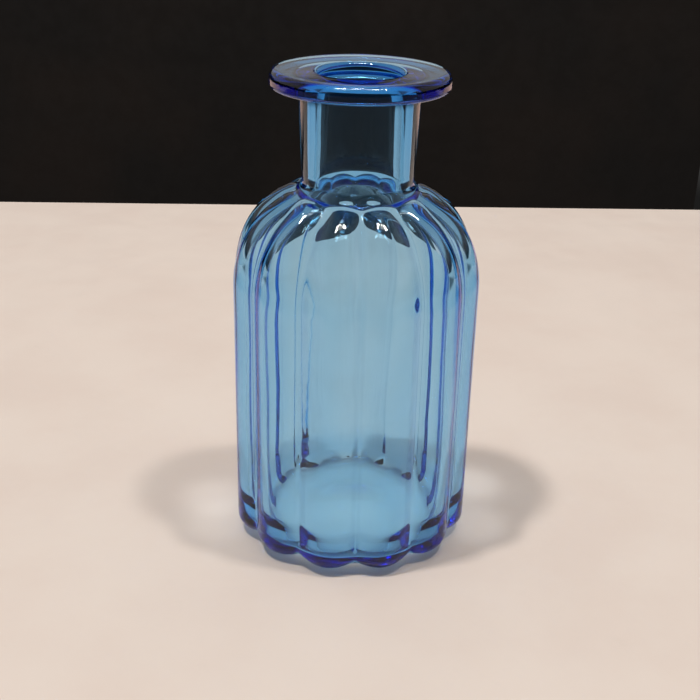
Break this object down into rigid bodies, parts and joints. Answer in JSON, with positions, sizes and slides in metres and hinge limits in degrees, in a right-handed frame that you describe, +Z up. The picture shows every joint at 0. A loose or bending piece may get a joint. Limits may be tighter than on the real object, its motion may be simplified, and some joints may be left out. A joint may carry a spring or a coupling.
{
  "type": "bud vase",
  "caption": "Small bottle-shaped bud vase in clear azure glass, with a wide disc lip, short neck, round shoulder and a lobed body.",
  "frame": {"origin": "centre of the foot, on the surface the vase stands on", "axes": "+Z up along the vase's axis; one of the twelve grooves lies on the -Y side"},
  "size_m": [0.0624, 0.0624, 0.125],
  "materials": {
    "azure_glass": "clear moulded soda-lime glass, tinted azure through its thickness, fire-polished"
  },
  "bodies": {
    "root": {"glass_vase": "azure_glass"}
  },
  "joints": []
}
